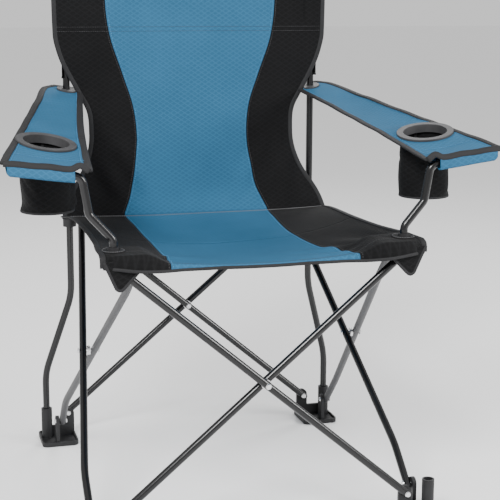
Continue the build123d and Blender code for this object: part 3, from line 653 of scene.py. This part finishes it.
for side, s in SIDES.items():
    body = "rear_left_frame" if s < 0 else "rear_right_frame"
    piece, hem = sleeve(side, s)
    for p in (piece, hem):
        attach(p, body)


# ---- armrests ------------------------------------------------------------------------
ARM_INNER = Vector((0.278, -0.250, 0.606))  # front corners of the right armrest
ARM_OUTER = Vector((0.407, -0.268, 0.624))
ARM_REAR_Z = 0.693  # its height at the post
SLOPE_Y = (ARM_REAR_Z - ARM_INNER.z) / (POST_Y - ARM_INNER.y)
SLOPE_X = (ARM_OUTER.z - ARM_INNER.z) / (ARM_OUTER.x - ARM_INNER.x)
CUP_C = (0.325, -0.140)
CUP_HOLE = 0.0425
CUP_TOP_R = 0.0432
CUP_BASE_R = 0.0425
CUP_DEPTH = 0.1035
TOP_LIFT = 0.0040  # of the armrest's top over the plane through its corners


def arm_height(x, y):
    return ARM_INNER.z + SLOPE_X * (x - ARM_INNER.x) + SLOPE_Y * (y - ARM_INNER.y)


ARM_REAR_Y = 0.262
ARM_FRONT_Y = -0.268
# x of the armrest's edges against y
ARM_EDGE_IN = [
    (0.262, 0.2270), (0.235, 0.2170), (0.150, 0.2280), (0.000, 0.2490), (-0.130, 0.2640), (-0.268, 0.2760),
]
ARM_EDGE_OUT = [
    (0.262, 0.2600), (0.235, 0.2800), (0.150, 0.3000), (0.000, 0.3370), (-0.130, 0.3690), (-0.268, 0.4040),
]


def arm_point(share, y):
    """A point of the right armrest's top: share runs from the inner edge to the outer edge."""
    inner, outer = curve_at(ARM_EDGE_IN, y), curve_at(ARM_EDGE_OUT, y)
    x = inner + (outer - inner) * share
    z = arm_height(x, y) + TOP_LIFT
    sag = sin(pi * share) * smooth_step((y - ARM_FRONT_Y) / 0.08) * smooth_step((0.2 - y) / 0.12)
    ring = smooth_step((sqrt((x - CUP_C[0]) ** 2 + (y - CUP_C[1]) ** 2) - 0.05) / 0.04)
    z -= 0.0055 * sag * ring
    z += ripple(x, y, 5.0, 16.0, 0.0018) * ring * smooth_step((0.2 - y) / 0.1)
    front = smooth_step((ARM_FRONT_Y + 0.035 - y) / 0.035)
    z += 0.0070 * front * exp(-(((share - 0.10) / 0.07) ** 2))
    z += 0.0005 * front * sin(share * 17)
    return Vector((x, y, z))


def arm_shell(side, s, part, rows):
    """The armrest's cloth over the given rows, with holes for the cup and the post."""
    shares = span(0, 1, 37)
    verts, uvs, faces, index = [], [], [], {}

    def vertex(i, j):
        if (i, j) not in index:
            p = arm_point(shares[i], rows[j])
            index[(i, j)] = len(verts)
            uvs.append((p.x, p.y))
            verts.append(Vector((s * p.x, p.y, p.z)))
        return index[(i, j)]

    def inside(i, j):
        p = arm_point(shares[i], rows[j])
        from_cup = (p.x - CUP_C[0]) ** 2 + (p.y - CUP_C[1]) ** 2
        from_post = (p.x - POST_X) ** 2 + (p.y - POST_Y) ** 2
        return from_cup < CUP_HOLE**2 or from_post < POST_HOLE**2

    for j in range(len(rows) - 1):
        for i in range(len(shares) - 1):
            if any(inside(a, b) for a, b in ((i, j), (i + 1, j), (i, j + 1), (i + 1, j + 1))):
                continue
            quad = (vertex(i, j), vertex(i, j + 1), vertex(i + 1, j + 1), vertex(i + 1, j))
            faces.append(quad if s > 0 else tuple(reversed(quad)))
    top = mesh_object(f"{side}_armrest_{part}", verts, faces, [blue_cloth], None, uvs)
    solidify(top, 0.0022, -1.0)
    return top


# the flap's way round the arm tube: y from the front edge, and share of its depth
FLAP_Y = [(0.0, -0.0035), (0.16, -0.0045), (0.34, -0.0040), (0.46, 0.0040), (0.70, 0.0290), (1.0, 0.0520)]
FLAP_DROP = [(0.0, 0.0), (0.16, 0.45), (0.34, 0.93), (0.46, 1.02), (0.70, 0.66), (1.0, 0.17)]


def arm_front_flap(side, s):
    """The lower cloth of the front sleeve, wrapped under the arm tube and sewn to the top behind it."""
    shares = span(0.17, 0.965, 45)
    turns = span(0, 1, 33)

    def place(share, t):
        front = arm_point(share, ARM_FRONT_Y + 0.002)
        depth = 0.0190 - 0.006 * smooth_step((share - 0.93) / 0.05) + ripple(front.x, 4.0, 0.0, 22.0, 0.0012)
        y = front.y + curve_at(FLAP_Y, t)
        z = arm_height(front.x, y) + TOP_LIFT - 0.0015 - depth * curve_at(FLAP_DROP, t)
        return Vector((s * front.x, y, z))

    return grid(f"{side}_armrest_front_pocket", shares, turns, place, [blue_cloth], thickness=0.0010)


def arm_line(s, points, lift=0.0):
    return [Vector((s * p.x, p.y, p.z + lift)) for p in points]


def cup_pocket(side, s):
    """A cloth cup that hangs from the ring, a little slack and dented, with a sewn base."""
    around = 72
    rows = span(0, 1, 34)
    base_z = arm_height(*CUP_C) - CUP_DEPTH
    verts, uvs, faces = [], [], []

    def join(ring):
        """Faces from a ring of vertices to the next one."""
        for k in range(around):
            a, b = ring + k, ring + (k + 1) % around
            quad = (a, a + around, b + around, b)
            faces.append(quad if s < 0 else tuple(reversed(quad)))

    for j, t in enumerate(rows):
        for k in range(around):
            angle = 2 * pi * k / around
            ca, sa = cos(angle), sin(angle)
            radius = CUP_TOP_R + (CUP_BASE_R - CUP_TOP_R) * t
            fold = smooth_step(t / 0.25) * smooth_step((1 - t) / 0.12)
            dent = ripple(ca * 0.05, sa * 0.05, t * 0.06 + 3 * s, 26.0, 0.0055)
            radius += fold * (dent - 0.0012 * sin(angle * 3 + 2.2 * t))
            radius -= fold * 0.0022 * exp(-((sin(angle * 1.5 + 3.4 * t + s) / 0.22) ** 2))
            px, py = CUP_C[0] + ca * radius, CUP_C[1] + sa * radius
            top_z = arm_height(px, py) - 0.0015
            verts.append(Vector((s * px, py, top_z + (base_z - top_z) * t)))
            uvs.append((angle * CUP_BASE_R, -t * 0.1))
    for j in range(len(rows) - 1):
        join(j * around)
    last = (len(rows) - 1) * around
    rings = 5
    centre = Vector((s * CUP_C[0], CUP_C[1], base_z))
    for r in range(1, rings + 1):
        shrink = 1 - r / rings
        for k in range(around):
            p = verts[last + k]
            q = centre + (p - centre) * max(shrink, 0.02)
            q.z = base_z + 0.002 * (1 - shrink)
            verts.append(q)
            uvs.append((q.x, q.y))
        join(last + (r - 1) * around)
    centre_ring = last + rings * around
    cap = tuple(centre_ring + k for k in range(around))
    faces.append(cap if s < 0 else tuple(reversed(cap)))
    cup = mesh_object(f"{side}_cup_cloth", verts, faces, [black_cloth], None, uvs)
    solidify(cup, 0.0011, 0.0)
    rim = [verts[last + k] for k in range(around)] + [verts[last]]
    seam = band(f"{side}_cup_base_seam", rim, (0, 0, 1), 0.0020, 0.0040, tape, 8, False)
    side_seam = [verts[j * around + around // 4] for j in range(len(rows))]  # down the rear
    closing = band(f"{side}_cup_side_seam", side_seam, (0, 1, 0), 0.006, 0.0026, tape, 8)
    return cup, [seam, closing]


ARM_SPLIT_Y = -0.087  # the cloth ahead of this is held flat by the cup's ring
ARM_OVERLAP = 0.004  # the rear part reaches this far into the front one
ARM_TAPE = (0.0125, 0.0046)  # width and thickness of the binding
ARM_STITCH_LIFT = 0.0006
ARM_PARTS = {  # rows, flat size and flat area
    "front": (span(ARM_SPLIT_Y, ARM_FRONT_Y, 50), (0.130, 0.186), 0.0163),
    "rear": (span(ARM_REAR_Y, ARM_SPLIT_Y - ARM_OVERLAP, 82), (0.110, 0.358), 0.0284),
}
for side, s in SIDES.items():
    body = f"{side}_armrest"
    up = (0, -SLOPE_Y, 1)
    for part, (rows, flat, area) in ARM_PARTS.items():
        top = arm_shell(side, s, part, rows)
        trims = []
        for share, edge in ((0.0, "inner"), (1.0, "outer")):
            line = arm_line(s, [arm_point(share, y) for y in rows], -0.001)
            trims.append(band(f"{side}_armrest_{part}_{edge}_binding", line, up, *ARM_TAPE, tape))
        for share, edge in ((0.075, "inner"), (0.925, "outer")):
            line = arm_line(s, [arm_point(share, y) for y in rows])
            name = f"{side}_armrest_{part}_{edge}_stitch"
            trims.append(stitches(name, line, up, thread_blue, lift=ARM_STITCH_LIFT))
        if part == "front":
            line = arm_line(s, [arm_point(share, ARM_FRONT_Y) for share in span(0, 1, 40)], -0.001)
            trims.append(band(f"{side}_armrest_front_binding", line, (0, -1, 0.5), 0.0105, 0.0050, tape))
            line = arm_line(s, [arm_point(share, ARM_FRONT_Y + 0.052) for share in span(0.04, 0.96, 40)])
            name = f"{side}_armrest_sleeve_stitch"
            trims.append(stitches(name, line, up, thread_blue, lift=ARM_STITCH_LIFT))
        else:
            line = arm_line(s, [arm_point(share, ARM_REAR_Y) for share in span(0, 1, 10)], -0.001)
            trims.append(band(f"{side}_armrest_rear_binding", line, up, *ARM_TAPE, tape))
        for piece in [top] + trims:
            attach(piece, body)
            if part == "rear":
                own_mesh(piece)
        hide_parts(f"{side}_armrest")
    pocket = arm_front_flap(side, s)
    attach(pocket, body)
    cup, cup_trims = cup_pocket(side, s)
    for piece in [cup] + cup_trims:
        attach(piece, body)
    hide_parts(f"{side}_cup")
    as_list(cup_trims)


# ---- corner pockets over the front hubs ----------------------------------------------
POCKET_TOP_X = (0.190, 0.262)
POCKET_FOOT_X = (0.231, 0.243)
POCKET_Y = -0.3035
POCKET_TOP_Z = 0.4720
POCKET_DEPTH = 0.0430


def corner_pocket(side, s):
    """A tapering cloth pocket that hangs from the seat's front corner, in front of the hub."""
    columns = span(0, 1, 33)
    rows = span(0, 1, 25)

    def place(c, t):
        inner, outer = (a + (b - a) * t for a, b in zip(POCKET_TOP_X, POCKET_FOOT_X))
        x = inner + (outer - inner) * c
        y = POCKET_Y + 0.0060 * (1 - t) * (1 - c) ** 2 + 0.0015 * t
        z = POCKET_TOP_Z - POCKET_DEPTH * t - 0.003 * sin(pi * c) * t
        y -= ripple(x, 1.0, z, 40.0, 0.0012)
        return Vector((s * x, y, z))

    piece = grid(f"{side}_corner_pocket_cloth", columns, rows, place, [black_cloth])
    outline = [place(0, t) for t in rows] + [place(c, 1) for c in columns[1:]]
    outline += [place(1, t) for t in rows[-2::-1]]
    hem = band(f"{side}_corner_pocket_hem", outline, (0, -1, 0), 0.005, 0.0026, tape)
    return piece, hem


PATCH_HOLE = 0.0102
PATCH_HALF = (0.0185, 0.0290)
PATCH_FRONT = 0.62  # the patch reaches this share as far to the front as to the rear


def tube_patch(side, s):
    """An oval reinforcing patch on the seat, with a round hole for the arm tube, and its stitching."""
    turns = span(0, 2 * pi, 65)
    rings = span(0, 1, 7)

    def place(angle, ring):
        reach_x, reach_y = (PATCH_HOLE + (half - PATCH_HOLE) * ring for half in PATCH_HALF)
        x = ARM_TUBE[0] + reach_x * cos(angle)
        y = ARM_TUBE[1] + reach_y * sin(angle) * (PATCH_FRONT if sin(angle) < 0 else 1)
        blue, half = curve_at(SEAT_BLUE, y), curve_at(SEAT_SIDE, y)
        share = BLUE_SHARE + (1 - BLUE_SHARE) * (x - blue) / (half - blue)
        p = seat_surface(min(share, 1.0), max(y, FRONT_Y))
        return Vector((s * x, y, p.z + 0.0016 + 0.0008 * (1 - ring)))

    piece = grid(f"{side}_tube_patch", turns, rings, place, [tape], thickness=0.0012)
    line = [place(angle, 0.8) for angle in turns]
    name = f"{side}_tube_patch_stitch"
    return piece, stitches(name, line, (0, 0, 1), thread_grey, 0.0034, 0.0024, 0.0003, 0.0008)


for side, s in SIDES.items():
    piece, thread = tube_patch(side, s)
    for p in (piece, thread):
        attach(p, f"front_{side}_hub")
    piece, hem = corner_pocket(side, s)
    for p in (piece, hem):
        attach(p, f"front_{side}_hub")
    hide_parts(f"{side}_corner_pocket")


# ---- how the sling goes with the fold ------------------------------------------------
for piece in groups["back"]:
    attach(piece, "rear_left_frame")
    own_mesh(piece)
for name in ("seat_front", "seat_rear"):
    for piece in groups[name]:
        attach(piece, name)
        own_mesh(piece)
for key, pieces in groups.items():
    for piece in pieces:
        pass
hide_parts("back_cloth")
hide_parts("seat_front")
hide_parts("seat_rear")
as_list(groups["back"][1:])
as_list(groups["seat_front"][1:])
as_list(groups["seat_rear"][1:])

# ---- floor, light, camera ------------------------------------------------------------
floor_mesh = bpy.data.meshes.new("floor")
floor_mesh.from_pydata([(-30, -30, 0), (30, -30, 0), (30, 30, 0), (-30, 30, 0)], [], [(0, 1, 2, 3)])
floor = add_object("floor", floor_mesh)
floor_mat, _, floor_shader = new_material("pale_floor")
floor_shader.inputs["Base Color"].default_value = (0.93, 0.93, 0.93, 1)
floor_shader.inputs["Roughness"].default_value = 0.7
floor_mesh.materials.append(floor_mat)

world = bpy.data.worlds.new("studio")
bpy.context.scene.world = world
world.use_nodes = True
world.node_tree.nodes["Background"].inputs["Color"].default_value = (1, 1, 1, 1)
world.node_tree.nodes["Background"].inputs["Strength"].default_value = 0.85


def area_light(name, place, target, size, power):
    data = bpy.data.lights.new(name, "AREA")
    data.shape = "DISK"
    data.size = size
    data.energy = power
    lamp = add_object(name, data)
    lamp.location = place
    lamp.rotation_euler = (Vector(target) - Vector(place)).to_track_quat("-Z", "Y").to_euler()


area_light("key", (-1.6, -2.2, 2.6), (0, 0, 0.5), 1.3, 150)
area_light("fill", (2.4, -1.4, 1.6), (0, 0, 0.5), 1.2, 70)
area_light("rim", (0.8, 2.2, 2.4), (0, 0, 0.6), 1.0, 30)

# Camera angles are in radians, the focal length and the frame's width in pixels.
CAMERA_AT = Vector((-0.574024, -2.238619, 0.874096))
YAW, PITCH, ROLL = -0.272654, 0.193811, 0.00322
FOCAL_PX = 1318.25
FRAME_PX = 500.0
SENSOR = 36.0  # millimetres
look = Vector((-sin(YAW) * cos(PITCH), cos(YAW) * cos(PITCH), -sin(PITCH)))
right = look.cross(Vector((0, 0, 1))).normalized()
up = right.cross(look)
right_rolled = right * cos(ROLL) + up * sin(ROLL)
up_rolled = up * cos(ROLL) - right * sin(ROLL)
camera_data = bpy.data.cameras.new("camera")
camera_data.sensor_width = SENSOR
camera_data.lens = FOCAL_PX / FRAME_PX * SENSOR
camera = add_object("camera", camera_data)
turn = Matrix((right_rolled, up_rolled, -look)).transposed().to_4x4()
camera.matrix_world = Matrix.Translation(CAMERA_AT) @ turn
bpy.context.scene.camera = camera
